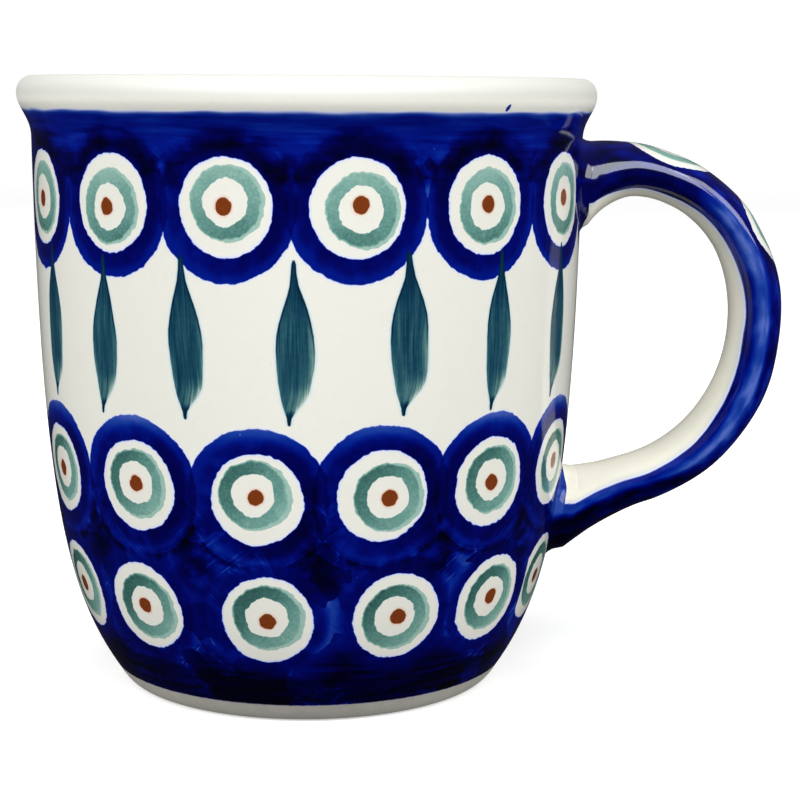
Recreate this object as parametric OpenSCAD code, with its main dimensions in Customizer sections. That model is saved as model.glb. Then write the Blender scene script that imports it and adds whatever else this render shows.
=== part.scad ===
// Stoneware mug: a cup with a rolled rim, and a handle luted on with slip.
// Millimetres. The cup's axis is Z, its foot stands on z = 0, and the handle points to +X.

/* [Cup] */
// Height from the foot to the top of the rim
cup_h = 94; // [88:0.5:100]
// Largest diameter, at the rolled rim
rim_d = 89; // [88:0.5:92]
// Diameter of the straight neck just under the rim
neck_d = 84.8; // [84:0.2:86]
// Diameter at the base of the wall, where it turns under to the foot
base_d = 62; // [58:0.5:66]
// Thickness of the wall at the neck
wall_t = 4.6; // [3.6:0.1:5]
// Thickness of the floor above the recess under it
floor_t = 4.8; // [3.5:0.1:6]

/* [Foot ring] */
// Outer diameter of the ring that the cup stands on
ring_outer_d = 55; // [52:0.5:56]
// Inner diameter of that ring
ring_inner_d = 47; // [42:0.5:49]
// Depth of the recess inside the ring
recess_depth = 1.8; // [1:0.1:2.5]

/* [Handle] */
// Farthest reach of the handle from the cup's axis
handle_reach = 75.4; // [72:0.2:78]
// Width of the grip across the handle
grip_w = 14; // [11:0.5:16]
// Extra width where each end spreads on the wall
root_spread = 3; // [0:0.5:5]
// Thickness of the slip between the handle and the wall
slip_t = 0.8; // [0.6:0.1:1.2]
// How much wider the slip's fillet is on the wall than the handle's end
slip_flare = 1.1; // [1.04:0.02:1.16]

/* [Hidden] */
$fn = 144;

glaze_white = [0.93, 0.92, 0.89];
cobalt_blue = [0.05, 0.12, 0.55];
slip_blue = [0.10, 0.14, 0.40];

neck_r = neck_d / 2;
rim_r = rim_d / 2;
base_r = base_d / 2;

// ---- Curves ---------------------------------------------------------------

// A point at t, from 0 to 1, on the cubic curve with four control points
function cubic(p, t) =
    pow(1 - t, 3) * p[0] + 3 * pow(1 - t, 2) * t * p[1]
    + 3 * (1 - t) * pow(t, 2) * p[2] + pow(t, 3) * p[3];

// Points along such a curve, without its first one, so that curves can be chained
function along(p, steps) = [for (i = [1:steps]) cubic(p, i / steps)];

// Points along a quarter of an ellipse from angle a to angle b, without the first
function quarter(centre, radii, a, b, steps) = [
    for (i = [1:steps])
        let (angle = a + (b - a) * i / steps)
        centre + [radii.x * cos(angle), radii.y * sin(angle)]
];

// ---- Cup outline: [radius, height] -----------------------------------------

wall_low_z = 3;
wall_top_z = cup_h - 9;
rim_wide_z = cup_h - 2.6;
crest_r = rim_r - 2.3;
lip_inner_r = crest_r - 2.6;
inner_neck_r = neck_r - wall_t;
floor_z = recess_depth + floor_t;

// From the contact ring round the turned-under edge to the base of the wall
foot_edge = [
    [ring_outer_d / 2, 0], [base_r - 1.7, 0], [base_r - 1, 1.45], [base_r, wall_low_z]
];
// The wall, nearly straight above and rounding in below
outer_wall = [
    [base_r, wall_low_z], [base_r + 8, 15.3], [neck_r - 0.5, 32.2], [neck_r, wall_top_z]
];
// The wall curls out into the rim
outer_lip = [
    [neck_r, wall_top_z], [neck_r + 0.05, cup_h - 6.2], [rim_r, cup_h - 4.8],
    [rim_r, rim_wide_z]
];
// The same on the inside, going down
inner_lip = [
    [lip_inner_r, cup_h - 3], [lip_inner_r, cup_h - 6.5], [inner_neck_r + 0.1, cup_h - 8],
    [inner_neck_r, cup_h - 13]
];
inner_wall = [
    [inner_neck_r, cup_h - 13], [inner_neck_r - 0.2, 38], [base_r + 4.5, floor_z],
    [base_r - 15, floor_z]
];
recess_edge = [
    [0, recess_depth], [ring_inner_d / 2 - 4, recess_depth],
    [ring_inner_d / 2 - 1.6, recess_depth], [ring_inner_d / 2, 0]
];

wall_line = concat([foot_edge[3]], along(outer_wall, 30));

cup_outline = concat(
    [foot_edge[0]],
    along(foot_edge, 6),
    along(outer_wall, 30),
    along(outer_lip, 10),
    quarter([crest_r, rim_wide_z], [rim_r - crest_r, cup_h - rim_wide_z], 0, 90, 6),
    quarter([crest_r, cup_h - 3], [crest_r - lip_inner_r, 3], 90, 180, 6),
    along(inner_lip, 8),
    along(inner_wall, 30),
    [[0, floor_z], recess_edge[0], recess_edge[1]],
    along([recess_edge[1], recess_edge[1] + [1.4, 0], recess_edge[2], recess_edge[3]], 6)
);

module cup_body() {
    color(glaze_white)
        rotate_extrude()
            polygon(cup_outline);
}

// ---- Handle ----------------------------------------------------------------

// Radius of the outside of the wall at height z
wall_table = [for (p = wall_line) [p.y, p.x]];
function wall_radius(z) = lookup(z, wall_table);

// The point at height z and sideways place y that stands off the wall by gap
function on_wall(y, z, gap) = [sqrt(pow(wall_radius(z) + gap, 2) - y * y), y, z];

// The handle's outer and inner edges in the XZ plane, as chains of cubic curves.
// The curves of one chain stand opposite those of the other. Each entry is a curve
// and the stretch of it, from one t to another, that is used.
reach_z = 56.8;
top_arc_outer = [
    [neck_r + 0.8, 84.5], [neck_r + 19.6, 85.9], [handle_reach, 72.3], [handle_reach, reach_z]
];
low_arc_outer = [
    [handle_reach, reach_z], [handle_reach, 41.8], [handle_reach - 10, 29.9], [53.8, 26.6]
];
low_root_outer = [[53.8, 26.6], [50, 25.6], [42.6, 20.8], [39.8, 18.7]];
top_root_inner = [[neck_r + 0.8, 70.6], [neck_r + 1.9, 72.5], [neck_r + 5.5, 75.6], [51, 75.6]];
top_arc_inner = [
    [51, 75.6], [59.4, 75.6], [handle_reach - 9.1, 67.8], [handle_reach - 9.1, reach_z]
];
low_arc_inner = [
    [handle_reach - 9.1, reach_z], [handle_reach - 9.1, 46.8], [60.4, 37.6], [50.5, 34.9]
];
low_root_inner = [[50.5, 34.9], [47.5, 34.1], [44.5, 33.3], [41.8, 32.9]];
top_root_share = 0.155;

outer_chain = [
    [top_arc_outer, 0, top_root_share], [top_arc_outer, top_root_share, 1],
    [low_arc_outer, 0, 1], [low_root_outer, 0, 1]
];
inner_chain = [
    [top_root_inner, 0, 1], [top_arc_inner, 0, 1], [low_arc_inner, 0, 1], [low_root_inner, 0, 1]
];
rings_in = [5, 13, 14, 6];

// Every place along a chain, as one list
function chain_points(chain) = [
    for (c = [0:3])
        for (i = [(c == 0 ? 0 : 1):rings_in[c]])
            let (from = chain[c][1], to = chain[c][2])
            cubic(chain[c][0], from + (to - from) * i / rings_in[c])
];
outer_edge = chain_points(outer_chain);
inner_edge = chain_points(inner_chain);
last_ring = len(outer_edge) - 1;

// Half the handle's width at a ring: wider near both ends
function near_end(i) = max(0, 1 - min(i / rings_in[0], (last_ring - i) / rings_in[3]));
function half_width(i) = (grip_w + root_spread * pow(near_end(i), 2)) / 2;

// The cross-section: round on the outer side, flatter on the inner side.
// across runs from -1 to 1 over the width, through from -1 inside to 1 outside.
sides = 28;
function rounded(v, power) = sign(v) * pow(abs(v), power);
section = [
    for (j = [0:sides - 1])
        let (angle = 360 * j / sides)
        [rounded(cos(angle), 0.85), rounded(sin(angle), sin(angle) > 0 ? 0.95 : 0.75)]
];

// A ring of points around the handle at ring i
function grip_ring(i) =
    let (
        middle = (outer_edge[i] + inner_edge[i]) / 2,
        half = (outer_edge[i] - inner_edge[i]) / 2
    )
    [for (s = section) [middle.x + half.x * s.y, half_width(i) * s.x, middle.y + half.y * s.y]];

// A ring on the wall in the shape of the handle's end at ring i, grown by scale
function wall_ring(i, scale, gap) =
    let (
        middle_z = (outer_edge[i].y + inner_edge[i].y) / 2,
        half_z = (outer_edge[i].y - inner_edge[i].y) / 2
    )
    [for (s = section) on_wall(half_width(i) * s.x * scale, middle_z + half_z * s.y * scale, gap)];

// A closed skin over a list of rings, with each end closed to a point in its middle
module skin(rings, start_point, end_point) {
    count = len(rings);
    points = concat([start_point], [for (r = rings) each r], [end_point]);
    function at(r, j) = 1 + r * sides + (j % sides);
    faces = concat(
        [for (j = [0:sides - 1]) [0, at(0, j), at(0, j + 1)]],
        [for (r = [0:count - 2], j = [0:sides - 1]) [at(r, j), at(r + 1, j), at(r, j + 1)]],
        [for (r = [0:count - 2], j = [0:sides - 1]) [at(r, j + 1), at(r + 1, j), at(r + 1, j + 1)]],
        [for (j = [0:sides - 1]) [len(points) - 1, at(count - 1, j + 1), at(count - 1, j)]]
    );
    polyhedron(points, faces, convexity = 6);
}

// Where a piece ends on the wall, rings of these sizes close it to its middle
end_scales = [0.4, 0.75, 1];
function end_cap(i, gap, grow) = [for (s = end_scales) wall_ring(i, s * grow, gap)];
function end_middle(i, gap) = on_wall(0, (outer_edge[i].y + inner_edge[i].y) / 2, gap);
function reversed(list) = [for (k = [len(list) - 1:-1:0]) list[k]];

module handle() {
    grip_rings = [for (i = [1:last_ring - 1]) grip_ring(i)];
    upper_cap = end_cap(0, slip_t, 1);
    lower_cap = reversed(end_cap(last_ring, slip_t, 1));
    color(cobalt_blue)
        skin(
            concat(upper_cap, grip_rings, lower_cap),
            end_middle(0, slip_t),
            end_middle(last_ring, slip_t)
        );
}

// ---- Slip joints -----------------------------------------------------------

// The slip between the wall and the handle's end at ring i spreads into a fillet
function on_the_cup(i) = end_cap(i, 0, slip_flare);
function under_the_handle(i) = end_cap(i, slip_t, 1);
function fillet(i) = [wall_ring(i, 1 + (slip_flare - 1) * 0.3, slip_t / 2)];

module upper_slip_joint() {
    color(slip_blue)
        skin(
            concat(on_the_cup(0), fillet(0), reversed(under_the_handle(0))),
            end_middle(0, 0),
            end_middle(0, slip_t)
        );
}

module lower_slip_joint() {
    color(slip_blue)
        skin(
            concat(
                under_the_handle(last_ring), fillet(last_ring), reversed(on_the_cup(last_ring))
            ),
            end_middle(last_ring, slip_t),
            end_middle(last_ring, 0)
        );
}

cup_body();
handle();
upper_slip_joint();
lower_slip_joint();
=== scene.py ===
"""A stoneware mug with a hand-painted cobalt eye and leaf pattern, in a pale studio."""

import math
import random
from types import SimpleNamespace

import bpy
import numpy as np
from mathutils import Matrix, Vector, noise


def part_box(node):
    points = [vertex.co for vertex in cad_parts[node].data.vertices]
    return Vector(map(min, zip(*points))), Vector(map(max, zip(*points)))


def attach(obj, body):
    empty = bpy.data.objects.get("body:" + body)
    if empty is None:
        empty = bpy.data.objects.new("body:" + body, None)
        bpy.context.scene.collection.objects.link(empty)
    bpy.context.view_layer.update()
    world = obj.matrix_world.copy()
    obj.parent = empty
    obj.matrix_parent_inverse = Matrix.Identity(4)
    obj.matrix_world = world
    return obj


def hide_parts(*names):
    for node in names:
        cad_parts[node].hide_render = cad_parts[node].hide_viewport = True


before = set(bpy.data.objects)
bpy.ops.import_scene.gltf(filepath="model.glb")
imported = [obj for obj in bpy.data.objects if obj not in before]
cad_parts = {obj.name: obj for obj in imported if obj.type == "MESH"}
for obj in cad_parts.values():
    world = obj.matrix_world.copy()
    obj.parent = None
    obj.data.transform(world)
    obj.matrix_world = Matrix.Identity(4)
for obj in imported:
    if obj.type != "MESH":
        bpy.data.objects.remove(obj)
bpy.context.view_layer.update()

MM = 0.001  # the outlines below are in millimetres, Blender is in metres
TURN = 2 * math.pi


# ---- Curves and outlines, in millimetres ----


def cubic(points, t):
    """The point at t, from 0 to 1, on the cubic curve with four control points."""
    a, b, c, d = (np.array(p, float) for p in points)
    return (1 - t) ** 3 * a + 3 * (1 - t) ** 2 * t * b + 3 * (1 - t) * t**2 * c + t**3 * d


def along(points, steps, start=0.0, end=1.0):
    """Points along part of a cubic curve, without the first one."""
    return [cubic(points, start + (end - start) * i / steps) for i in range(1, steps + 1)]


def quarter(centre, radii, start, end, steps):
    """Points along a quarter of an ellipse between two angles in degrees, without the first."""
    angles = [math.radians(start + (end - start) * i / steps) for i in range(1, steps + 1)]
    return [
        np.array([centre[0] + radii[0] * math.cos(a), centre[1] + radii[1] * math.sin(a)])
        for a in angles
    ]


CUP_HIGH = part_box("cup_body")[1]
CUP_H = CUP_HIGH[2] / MM
RIM_R = CUP_HIGH[0] / MM
NECK_R = RIM_R - 2.1
BASE_R = 31.0
WALL_T = 4.6
RECESS = 1.8  # how deep the underside is hollowed
FLOOR_Z = 6.6
CREST_R = RIM_R - 2.3  # where the lip is highest
LIP_INNER_R = CREST_R - 2.6
INNER_NECK_R = NECK_R - WALL_T
WIDE_Z = CUP_H - 2.6  # where the lip is widest
WALL_TOP_Z = CUP_H - 9

FOOT_EDGE = [(27.5, 0), (BASE_R - 1.7, 0), (BASE_R - 1, 1.45), (BASE_R, 3)]
OUTER_WALL = [(BASE_R, 3), (BASE_R + 8, 15.3), (NECK_R - 0.5, 32.2), (NECK_R, WALL_TOP_Z)]
OUTER_LIP = [
    (NECK_R, WALL_TOP_Z),
    (NECK_R + 0.05, CUP_H - 6.2),
    (RIM_R, CUP_H - 4.8),
    (RIM_R, WIDE_Z),
]
INNER_LIP = [
    (LIP_INNER_R, CUP_H - 3),
    (LIP_INNER_R, CUP_H - 6.5),
    (INNER_NECK_R + 0.1, CUP_H - 8),
    (INNER_NECK_R, CUP_H - 13),
]
INNER_WALL = [
    (INNER_NECK_R, CUP_H - 13),
    (INNER_NECK_R - 0.2, 38),
    (BASE_R + 4.5, FLOOR_Z),
    (BASE_R - 15, FLOOR_Z),
]
RECESS_EDGE = [(19.5, RECESS), (21, RECESS), (21.9, RECESS), (23.5, 0)]

wall_line = np.array([np.array(OUTER_WALL[0], float)] + along(OUTER_WALL, 120))


def wall_radius(z):
    """Radius of the outside of the wall at height z."""
    return float(np.interp(z, wall_line[:, 1], wall_line[:, 0]))


def cup_outline():
    """The cup's outline from the middle of its underside round to the middle of its floor.

    Returns the points and, for each, whether it is on the inside of the cup.
    """
    under = [np.array([r, RECESS]) for r in np.linspace(0.0, RECESS_EDGE[0][0], 14)]
    under += along(RECESS_EDGE, 10)
    under += [np.array([r, 0.0]) for r in (24.5, 25.5, 26.5, 27.5)]
    outside = along(FOOT_EDGE, 14) + along(OUTER_WALL, 96) + along(OUTER_LIP, 20)
    outside += quarter((CREST_R, WIDE_Z), (RIM_R - CREST_R, CUP_H - WIDE_Z), 0, 90, 12)
    inside = quarter((CREST_R, CUP_H - 3), (CREST_R - LIP_INNER_R, 3), 90, 180, 12)
    inside += along(INNER_LIP, 16) + along(INNER_WALL, 90)
    inside += [np.array([r, FLOOR_Z]) for r in np.linspace(BASE_R - 16.5, 0.0, 11)]
    points = np.array(under + outside + inside)
    inner = np.array([0.0] * len(under + outside) + [1.0] * len(inside))
    return points, inner


# ---- Object helpers ----


def add_object(name, data):
    """Puts an object with the data into the scene."""
    obj = bpy.data.objects.new(name, data)
    bpy.context.scene.collection.objects.link(obj)
    return obj


def new_object(name, points, faces):
    """An object from points in metres and faces, shaded smooth."""
    mesh = bpy.data.meshes.new(name)
    mesh.from_pydata([tuple(p) for p in points], [], faces)
    mesh.validate()
    mesh.shade_smooth()
    return add_object(name, mesh)


def set_uv(obj, uvs):
    """Gives the mesh its one UV map, from a list of corners for each face."""
    layer = obj.data.uv_layers.new(name="OFBake")
    for face in obj.data.polygons:
        for loop, corner in zip(face.loop_indices, uvs[face.index]):
            layer.data[loop].uv = corner


def set_values(obj, name, kind, values):
    """Stores one value or vector for each point of the mesh, for the shader to read."""
    attribute = obj.data.attributes.new(name, kind, "POINT")
    key = "vector" if kind == "FLOAT_VECTOR" else "value"
    attribute.data.foreach_set(key, np.array(values, float).ravel())


# ---- The cup ----

CUP_SIDES = 192
STEADY_Z = 8.0  # below this height the wall gets truer and truer, down to the foot


def hand_made(angle, z):
    """How far the wall strays outward, in millimetres, because a hand finished it."""
    height = z / CUP_H
    slow = 0.09 * math.sin(2 * angle + 0.7) + 0.05 * math.sin(3 * angle + 2.1 + 2 * height)
    return slow * (0.35 + 0.65 * height)


def rim_rise(angle, z):
    """How far the rim strays upward, in millimetres."""
    return 0.07 * math.sin(2 * angle + 1.9) * max(0.0, z / CUP_H) ** 3


def build_cup():
    """The cup, as rings of points from the middle of its underside to that of its floor."""
    outline, inner = cup_outline()
    lengths = np.linalg.norm(np.diff(outline, axis=0), axis=1)
    run = np.concatenate([[0.0], np.cumsum(lengths)])
    rings = len(outline)
    points = [(0.0, 0.0, outline[0][1] * MM)]
    inside = [0.0]
    for ring in range(1, rings - 1):
        radius, z = outline[ring]
        for side in range(CUP_SIDES):
            angle = TURN * side / CUP_SIDES
            r = radius + hand_made(angle, z) * min(1.0, z / STEADY_Z)
            x, y = r * math.cos(angle), r * math.sin(angle)
            points.append((x * MM, y * MM, (z + rim_rise(angle, z)) * MM))
            inside.append(inner[ring])
    points.append((0.0, 0.0, outline[-1][1] * MM))
    inside.append(1.0)

    def at(ring, side):
        """The number of a ring's point. The first and the last ring are one point each."""
        if ring in (0, rings - 1):
            return 0 if ring == 0 else len(points) - 1
        return 1 + (ring - 1) * CUP_SIDES + side % CUP_SIDES

    faces = []
    uvs = []

    def add_face(*corners):
        faces.append([at(ring, side) for ring, side in corners])
        uvs.append([(side / CUP_SIDES, run[ring] / run[-1]) for ring, side in corners])

    for side in range(CUP_SIDES):
        add_face((0, side + 0.5), (1, side + 1), (1, side))
    for ring in range(1, rings - 2):
        for side in range(CUP_SIDES):
            add_face((ring, side), (ring, side + 1), (ring + 1, side + 1), (ring + 1, side))
    for side in range(CUP_SIDES):
        add_face((rings - 1, side + 0.5), (rings - 2, side), (rings - 2, side + 1))
    cup = new_object("painted_cup", points, faces)
    set_uv(cup, uvs)
    set_values(cup, "inside", "FLOAT", inside)
    return cup


# ---- The handle ----

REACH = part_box("handle")[1][0] / MM
REACH_Z = 56.8  # where the handle reaches furthest
GRIP_W = 14.0
ROOT_SPREAD = 3.0  # how much wider the grip is where it meets the wall

# The handle's outer and inner edges in the XZ plane. Each curve of one chain stands
# opposite the same one of the other: upper root, upper arm, lower arm, lower root.
TOP_OUTER = [(NECK_R + 0.8, 84.5), (NECK_R + 19.6, 85.9), (REACH, 72.3), (REACH, REACH_Z)]
OUTER_CHAIN = [
    (TOP_OUTER, 0.0, 0.155),
    (TOP_OUTER, 0.155, 1.0),
    ([(REACH, REACH_Z), (REACH, 41.8), (REACH - 10, 29.9), (53.8, 26.6)], 0.0, 1.0),
    ([(53.8, 26.6), (50, 25.6), (42.6, 20.8), (39.8, 18.7)], 0.0, 1.0),
]
INNER_REACH = REACH - 9.1
INNER_CHAIN = [
    ([(NECK_R + 0.8, 70.6), (NECK_R + 1.9, 72.5), (NECK_R + 5.5, 75.6), (51, 75.6)], 0.0, 1.0),
    ([(51, 75.6), (59.4, 75.6), (INNER_REACH, 67.8), (INNER_REACH, REACH_Z)], 0.0, 1.0),
    ([(INNER_REACH, REACH_Z), (INNER_REACH, 46.8), (60.4, 37.6), (50.5, 34.9)], 0.0, 1.0),
    ([(50.5, 34.9), (47.5, 34.1), (44.5, 33.3), (41.8, 32.9)], 0.0, 1.0),
]
RINGS_IN = [12, 44, 48, 16]  # how many rings lie along each curve
GRIP_SIDES = 72

# Where the two eyes are stamped on the outside of the grip, as distance along it
HANDLE_EYES = [12.5, 28.3]

# How far the hand that pulled the handle left its edges from those curves, in millimetres
# outward, at distances along it
OUTER_SWAY = [(0, 0), (6, 0.1), (10, 0.3), (17, 0.4), (25, 0.05), (33, -0.25), (40, -0.45)]
OUTER_SWAY += [(50, -0.4), (60, -0.5), (74, -0.62), (84, -0.9), (88.5, -0.6)]
INNER_SWAY = [(0, 0.3), (3, 0.55), (6, 0.45), (10, 0.4), (16, 0.3), (22, 0.45), (29, 0.7)]
INNER_SWAY += [(45, 0.6), (74, 0.46), (82, 0.5), (88.5, 0.2)]
CREST_OUT = 4.6  # the middle of the outside, from the grip's axis


def chain_points(chain):
    """The points along one edge of the handle, from its upper to its lower end."""
    points = [cubic(chain[0][0], chain[0][1])]
    for (curve, start, end), count in zip(chain, RINGS_IN):
        points += along(curve, count, start, end)
    return np.array(points)


def handle_rails():
    """The outer and inner edges, how far each ring is along the grip, and each ring's width."""
    outer = chain_points(OUTER_CHAIN)
    inner = chain_points(INNER_CHAIN)
    middle = (outer + inner) / 2
    run = np.concatenate([[0.0], np.cumsum(np.linalg.norm(np.diff(middle, axis=0), axis=1))])
    across = (outer - inner) / np.linalg.norm(outer - inner, axis=1)[:, None]
    # the stamps press the outside a little flat, and the hand leaves it a little uneven
    flat = sum(-0.22 * np.exp(-(((run - s) / 3.2) ** 2)) for s in HANDLE_EYES)
    uneven = 0.09 * np.sin(run / 4.3 + 0.8) + 0.06 * np.sin(run / 2.1 + 2.0)
    ends = np.clip(np.minimum(run, run[-1] - run) / 12.0, 0.0, 1.0)
    outer_sway = np.interp(run, *zip(*OUTER_SWAY))
    inner_sway = np.interp(run, *zip(*INNER_SWAY))
    outer = outer + across * ((flat + uneven) * ends + outer_sway)[:, None]
    inner = inner + across * inner_sway[:, None]
    near_end = np.clip(1 - np.minimum(run / 8.0, (run[-1] - run) / 14.0), 0.0, 1.0)
    width = GRIP_W + ROOT_SPREAD * near_end**2 + 0.2 * np.sin(run / 9.0)
    return outer, inner, run, width


def section_point(side):
    """The grip's cross-section: round outside, flatter inside. Returns across and through."""
    angle = TURN * side / GRIP_SIDES
    c, s = math.cos(angle), math.sin(angle)
    power = 1.0 if s > 0 else 0.88
    return math.copysign(abs(c) ** 0.98, c), math.copysign(abs(s) ** power, s)


SECTION = [section_point(side) for side in range(GRIP_SIDES)]


def grip_ring(outer, inner, width, grow=0.0):
    """The points around the handle at one ring, in millimetres, grown by a margin."""
    middle = (outer + inner) / 2
    half = (outer - inner) / 2
    length = np.linalg.norm(half)
    half = half * (length + grow) / length
    return [
        np.array([middle[0] + half[0] * t, (width / 2 + grow) * a, middle[1] + half[1] * t])
        for a, t in SECTION
    ]


def on_wall(y, z, gap):
    """The point at height z and sideways place y that stands off the wall by gap."""
    radius = wall_radius(z) + gap
    return np.array([math.sqrt(max(0.0, radius**2 - y * y)), y, z])


def root_ring(outer, inner, width, gap, margin=0.0):
    """A ring on the wall in the shape of the handle's end, grown by a margin."""
    middle_z = (outer[1] + inner[1]) / 2
    half_z = (outer[1] - inner[1]) / 2
    grown_z = half_z + math.copysign(margin, half_z)
    return [on_wall((width / 2 + margin) * a, middle_z + grown_z * t, gap) for a, t in SECTION]


def skin_faces(rings):
    """Quads that join each of so many rings of points to the next, the last to the first."""
    faces = []
    for ring in range(rings):
        here, there = ring * GRIP_SIDES, (ring + 1) % rings * GRIP_SIDES
        for side in range(GRIP_SIDES):
            after = (side + 1) % GRIP_SIDES
            faces.append((here + side, here + after, there + after, there + side))
    return faces


def skin_uvs(heights):
    """The corners in the UV map of such quads, with each ring at its own height of the map."""
    uvs = []
    for low, high in zip(heights, heights[1:]):
        for side in range(GRIP_SIDES):
            left, right = side / GRIP_SIDES, (side + 1) / GRIP_SIDES
            uvs.append([(left, low), (right, low), (right, high), (left, high)])
    return uvs


def new_skin(name, rings, faces, uvs, rails):
    """An object from rings of points in millimetres, with what its shader needs to know.

    rails says of each ring how far along the grip it is, and the grip's width and depth there.
    """
    skin = [p for ring in rings for p in ring]
    obj = new_object(name, [p * MM for p in skin], faces)
    set_uv(obj, uvs)
    grip = [(run, width / 2 * a, depth / 2 * t) for run, width, depth in rails for a, t in SECTION]
    set_values(obj, "grip", "FLOAT_VECTOR", grip)
    off_wall = [math.hypot(p[0], p[1]) - wall_radius(p[2]) for p in skin]
    set_values(obj, "off_wall", "FLOAT", off_wall)
    return obj


ROOT_GAP = 0.5  # how far off the wall the handle's outermost visible rings are
END_DEPTH = 2.0  # how far its ends go on into the wall, where they can't be seen


def build_handle():
    """The handle, as a skin round its rings, with a closed end inside the wall at each root."""
    outer, inner, run, width = handle_rails()
    rings = [grip_ring(*rail) for rail in zip(outer, inner, width)]
    upper_end, lower_end = ((outer[i], inner[i], width[i]) for i in (0, -1))
    rings[0] = root_ring(*upper_end, ROOT_GAP)
    rings[-1] = root_ring(*lower_end, ROOT_GAP)
    rings.insert(0, root_ring(*upper_end, -END_DEPTH, -0.4))
    rings.append(root_ring(*lower_end, -END_DEPTH, -0.4))
    places = np.concatenate([[run[0] - 2.5], run, [run[-1] + 2.5]])
    widths = np.pad(width, 1, mode="edge")
    depths = np.pad(np.linalg.norm(outer - inner, axis=1), 1, mode="edge")
    faces = skin_faces(len(rings))[:-GRIP_SIDES]
    uvs = skin_uvs((places - places[0]) / (places[-1] - places[0]) * 0.92 + 0.04)
    # the hidden ends, each closed by one face
    first_cap = list(range(GRIP_SIDES))[::-1]
    last_cap = [(len(rings) - 1) * GRIP_SIDES + side for side in range(GRIP_SIDES)]
    for cap, middle_v in ((first_cap, 0.015), (last_cap, 0.985)):
        faces.append(cap)
        circle = [TURN * i / GRIP_SIDES for i in range(GRIP_SIDES)]
        uvs.append([(0.5 + 0.01 * math.cos(a), middle_v + 0.01 * math.sin(a)) for a in circle])
    return new_skin("painted_handle", rings, faces, uvs, zip(places, widths, depths))


SLIP_REACH = 1.0  # how far the slip runs up the handle
SLIP_STEPS = 10


def build_slip_joint(name, upper):
    """The fillet of slip that closes the corner between one end of the handle and the wall."""
    outer, inner, run, width = handle_rails()
    end, step = (0, 1) if upper else (len(outer) - 1, -1)
    spread, rough = (1.3, 0.05) if upper else (1.1, 0.10)
    ring = end
    while abs(run[ring] - run[end]) < SLIP_REACH:
        ring += step
    up_handle = (outer[ring], inner[ring], width[ring])
    root = (outer[end], inner[end], width[end])
    on_handle = grip_ring(*up_handle, -0.03)
    corner = root_ring(*root, 0.12)
    on_cup = root_ring(*root, -0.02, spread)
    rings = [grip_ring(*up_handle, -0.8)]
    for i in range(SLIP_STEPS + 1):
        t = i / SLIP_STEPS
        fillet = []
        for j in range(GRIP_SIDES):
            p = (1 - t) ** 2 * on_handle[j] + 2 * (1 - t) * t * corner[j] + t**2 * on_cup[j]
            away = (on_handle[j] + on_cup[j]) / 2 - p
            away = away / max(1e-6, np.linalg.norm(away))
            bump = noise.noise(Vector(p) * 0.9) + 0.6 * noise.noise(Vector(p) * 2.3)
            fillet.append(p + away * bump * rough * math.sin(math.pi * t))
        rings.append(fillet)
    # the hidden rings inside the wall
    rings += [root_ring(*root, -0.9, spread - 0.4), root_ring(*root, -0.9, -0.9)]
    faces = skin_faces(len(rings))
    uvs = skin_uvs([row / len(rings) for row in range(len(rings) + 1)])
    if not upper:
        faces = [face[::-1] for face in faces]
        uvs = [corners[::-1] for corners in uvs]
    depth = np.linalg.norm(outer[end] - inner[end])
    shares = [0.0] + [i / SLIP_STEPS for i in range(SLIP_STEPS + 1)] + [1.0, 1.0]
    places = [run[ring] + (run[end] - run[ring]) * share for share in shares]
    rails = [(place, width[end], depth) for place in places]
    return new_skin(name, rings, faces, uvs, rails)


# ---- Node helpers ----


class Wire:
    """A number or vector in a material's node tree. Arithmetic on it adds nodes."""

    def __init__(self, tree, socket):
        self.tree = tree
        self.socket = socket

    def __add__(self, other):
        return calc("ADD", self, other)

    def __sub__(self, other):
        return calc("SUBTRACT", self, other)

    def __mul__(self, other):
        return calc("MULTIPLY", self, other)

    def __truediv__(self, other):
        return calc("DIVIDE", self, other)

    def __radd__(self, other):
        return calc("ADD", other, self)

    def __rsub__(self, other):
        return calc("SUBTRACT", other, self)

    def __rmul__(self, other):
        return calc("MULTIPLY", other, self)


def add_node(tree, kind, values, **settings):
    """Adds a node, sets its options, and puts a number or a wire into each named input."""
    node = tree.nodes.new(kind)
    for option, value in settings.items():
        setattr(node, option, value)
    for name, value in values.items():
        if isinstance(value, Wire):
            tree.links.new(value.socket, node.inputs[name])
        else:
            node.inputs[name].default_value = value
    return node


def calc(operation, *values):
    """One step of arithmetic, on numbers and at least one wire."""
    tree = next(value.tree for value in values if isinstance(value, Wire))
    node = add_node(tree, "ShaderNodeMath", dict(enumerate(values)), operation=operation)
    return Wire(tree, node.outputs[0])


def scaled(vector, factors):
    """The vector with each of its parts multiplied by its own factor."""
    values = {0: vector, 1: factors}
    node = add_node(vector.tree, "ShaderNodeVectorMath", values, operation="MULTIPLY")
    return Wire(vector.tree, node.outputs[0])


def highest(first, second):
    return calc("MAXIMUM", first, second)


def lowest(first, second):
    return calc("MINIMUM", first, second)


def distance(x, y):
    """How far the point x, y is from the middle of its motif."""
    return calc("SQRT", x * x + y * y)


def smooth(value, low, high, bottom=0.0, top=1.0):
    """Goes softly from bottom to top while value goes from low to high."""
    values = {"Value": value, "From Min": low, "From Max": high, "To Min": bottom, "To Max": top}
    node = add_node(value.tree, "ShaderNodeMapRange", values, interpolation_type="SMOOTHSTEP")
    return Wire(value.tree, node.outputs[0])


def join(x, y, z):
    """A vector from three numbers or wires, of which x is a wire."""
    node = add_node(x.tree, "ShaderNodeCombineXYZ", {"X": x, "Y": y, "Z": z})
    return Wire(x.tree, node.outputs[0])


def split(vector):
    node = add_node(vector.tree, "ShaderNodeSeparateXYZ", {0: vector})
    return [Wire(vector.tree, socket) for socket in node.outputs]


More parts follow.
